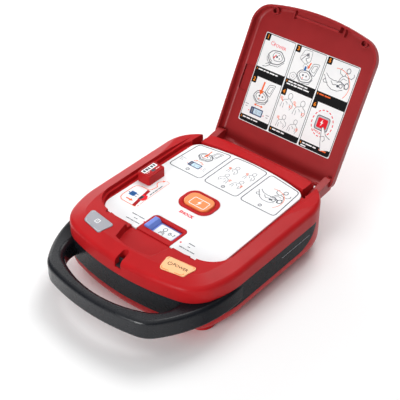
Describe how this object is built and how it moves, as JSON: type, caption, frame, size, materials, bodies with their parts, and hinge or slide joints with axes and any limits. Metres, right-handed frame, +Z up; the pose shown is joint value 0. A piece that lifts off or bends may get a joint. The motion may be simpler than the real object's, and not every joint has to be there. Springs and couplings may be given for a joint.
{
  "type": "automated external defibrillator",
  "caption": "Portable public-access defibrillator in a red case with flip-up lid, loop handle, shock button, mode slider and slide-out battery.",
  "frame": {"origin": "on the resting surface, under the middle of the bounding box with the lid fully open", "axes": "+X to the user's right, +Y away from the user towards the lid hinge, +Z up"},
  "size_m": [0.242, 0.446, 0.2395],
  "materials": {
    "red_shell": "satin, fine-grained",
    "dark_red_lid": "satin, fine-grained",
    "charcoal_handle": "soft satin",
    "white_panel": "smooth satin",
    "orange_button": "semi-gloss",
    "peach_key": "satin",
    "grey_key": "satin",
    "blue_slider": "satin",
    "printed_film": "smooth film",
    "smoked_window": "gloss",
    "natural_plastic": "matt",
    "rubber": "matt",
    "steel": "satin",
    "brass": "bright",
    "circuit_board": "satin",
    "black_component": "matt",
    "cell_metal": "satin wrap",
    "magnet_metal": "bright"
  },
  "bodies": {
    "case": {"lower_case": "red_shell", "upper_case": "red_shell", "carry_handle": "charcoal_handle", "control_panel": "white_panel", "shock_bezel": "red_shell", "mode_guide": "natural_plastic", "connector_housing": "red_shell", "connector_label": "printed_film", "connector_contacts": "brass", "ir_window": "smoked_window", "hinge_pins": "steel", "case_seal": "rubber", "case_screws": "steel", "rubber_feet": "rubber", "key_board": "circuit_board", "tact_switches": "black_component", "main_board": "circuit_board", "power_board": "circuit_board", "hv_capacitor": "cell_metal", "capacitor_clamp": "natural_plastic", "transformer": "black_component", "output_relay": "black_component", "loudspeaker": "black_component", "battery_contacts": "brass"},
    "lid": {"lid": "dark_red_lid", "lid_label": "printed_film"},
    "shock_key": {"shock_button": "orange_button"},
    "power_key": {"power_button": "peach_key"},
    "info_key": {"info_button": "grey_key"},
    "mode_slide": {"mode_slider": "blue_slider", "slider_magnet": "magnet_metal", "mode_cards": "printed_film"},
    "battery_pack": {"battery_case": "charcoal_handle", "battery_cover": "charcoal_handle", "battery_cells": "cell_metal", "battery_terminals": "brass"}
  },
  "joints": [
    {"name": "lid_hinge", "type": "hinge", "parent": "case", "child": "lid", "pos_m": [0, 0.0955, 0.06], "axis": [1, 0, 0], "range_deg": [0, 118]},
    {"name": "shock_press", "type": "slide", "parent": "case", "child": "shock_key", "axis": [0, 0, -1], "range_m": [0, 0.002], "stiffness_N_per_m": 1200, "springref_m": -0.001},
    {"name": "power_press", "type": "slide", "parent": "case", "child": "power_key", "axis": [0, 0, -1], "range_m": [0, 0.0012], "stiffness_N_per_m": 1500, "springref_m": -0.0006},
    {"name": "info_press", "type": "slide", "parent": "case", "child": "info_key", "axis": [0, 0, -1], "range_m": [0, 0.0012], "stiffness_N_per_m": 1500, "springref_m": -0.0006},
    {"name": "mode_shift", "type": "slide", "parent": "case", "child": "mode_slide", "axis": [1, 0, 0], "range_m": [0, 0.0344]},
    {"name": "battery_slide", "type": "slide", "parent": "case", "child": "battery_pack", "axis": [0, 1, 0], "range_m": [0, 0.095]}
  ]
}
